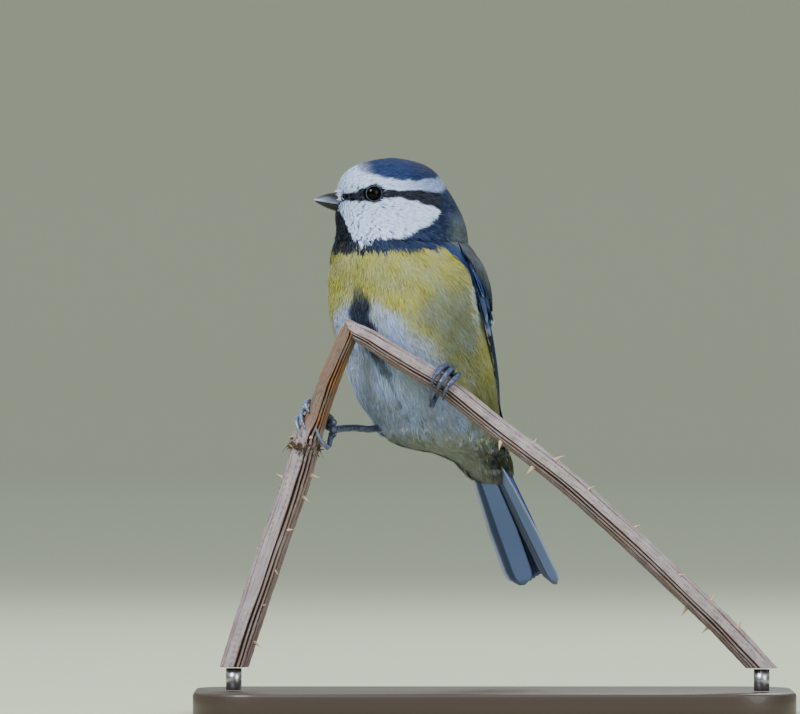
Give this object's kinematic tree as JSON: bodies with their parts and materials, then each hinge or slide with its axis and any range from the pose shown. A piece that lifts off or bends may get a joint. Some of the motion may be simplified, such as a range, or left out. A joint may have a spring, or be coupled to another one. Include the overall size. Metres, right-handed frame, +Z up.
{
  "type": "perched blue tit",
  "caption": "Life-size blue tit gripping a bent bramble stem, on a plain display stand with short rods.",
  "frame": {"origin": "middle of the underside of the stand's base", "axes": "+Z up; +X to the right and -Y towards the viewer of the pictured side; the stem's bend lies up and to the left"},
  "size_m": [0.15, 0.07, 0.1389],
  "materials": {
    "plumage_head": "matte feathers: white face, blue cap, dark eye stripe",
    "plumage_collar": "matte dark blue feathers",
    "plumage_body": "matte yellow feathers, whitish belly, dark belly stripe",
    "wing_feathers": "slightly glossy blue and slate flight feathers with pale edges",
    "tail_feathers": "slightly glossy blue-grey feathers with pale outer edges",
    "bill_horn": "dark grey horn, satin",
    "claw_horn": "dark grey horn, satin",
    "eye": "near-black, glossy and opaque",
    "leg_skin": "blue-grey scaled skin, satin",
    "bark": "dry furrowed brown-mauve bark with pale prickles",
    "base_wood": "dark stained wood, satin",
    "rod_metal": "satin steel"
  },
  "bodies": {
    "root": {"head": "plumage_head", "neck": "plumage_collar", "torso": "plumage_body", "tail": "tail_feathers", "wing_left": "wing_feathers", "wing_right": "wing_feathers", "bill_upper": "bill_horn", "bill_lower": "bill_horn", "eye_left": "eye", "eye_right": "eye", "perch_right_arm": "bark", "perch_left_arm": "bark", "tarsus_left": "leg_skin", "toe_inner_left": "leg_skin", "toe_middle_left": "leg_skin", "toe_outer_left": "leg_skin", "toe_hind_left": "leg_skin", "claw_inner_left": "claw_horn", "claw_middle_left": "claw_horn", "claw_outer_left": "claw_horn", "claw_hind_left": "claw_horn", "tarsus_right": "leg_skin", "toe_inner_right": "leg_skin", "toe_middle_right": "leg_skin", "toe_outer_right": "leg_skin", "toe_hind_right": "leg_skin", "claw_inner_right": "claw_horn", "claw_middle_right": "claw_horn", "claw_outer_right": "claw_horn", "claw_hind_right": "claw_horn", "stand_base": "base_wood", "stand_rod_left": "rod_metal", "stand_rod_right": "rod_metal"}
  },
  "joints": []
}
